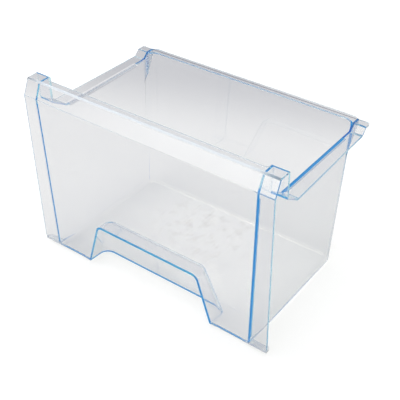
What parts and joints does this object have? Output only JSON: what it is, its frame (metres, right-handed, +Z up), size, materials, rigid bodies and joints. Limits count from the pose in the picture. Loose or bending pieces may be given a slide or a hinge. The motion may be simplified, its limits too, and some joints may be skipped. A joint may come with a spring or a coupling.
{
  "type": "freezer drawer",
  "caption": "Clear plastic freezer drawer with a wide flat front, a top lip, side runners that step up at both ends and a finger pocket in the bottom edge.",
  "frame": {"origin": "on the ground under the middle of the bounding box", "axes": "+X to the right seen from the front, along the front panel; +Y from the front panel to the back rim; +Z up"},
  "size_m": [0.44, 0.272, 0.303],
  "materials": {
    "clear_plastic": "clear moulded polystyrene, glossy, with a blue tint in its edges"
  },
  "bodies": {
    "root": {"drawer": "clear_plastic"}
  },
  "joints": []
}
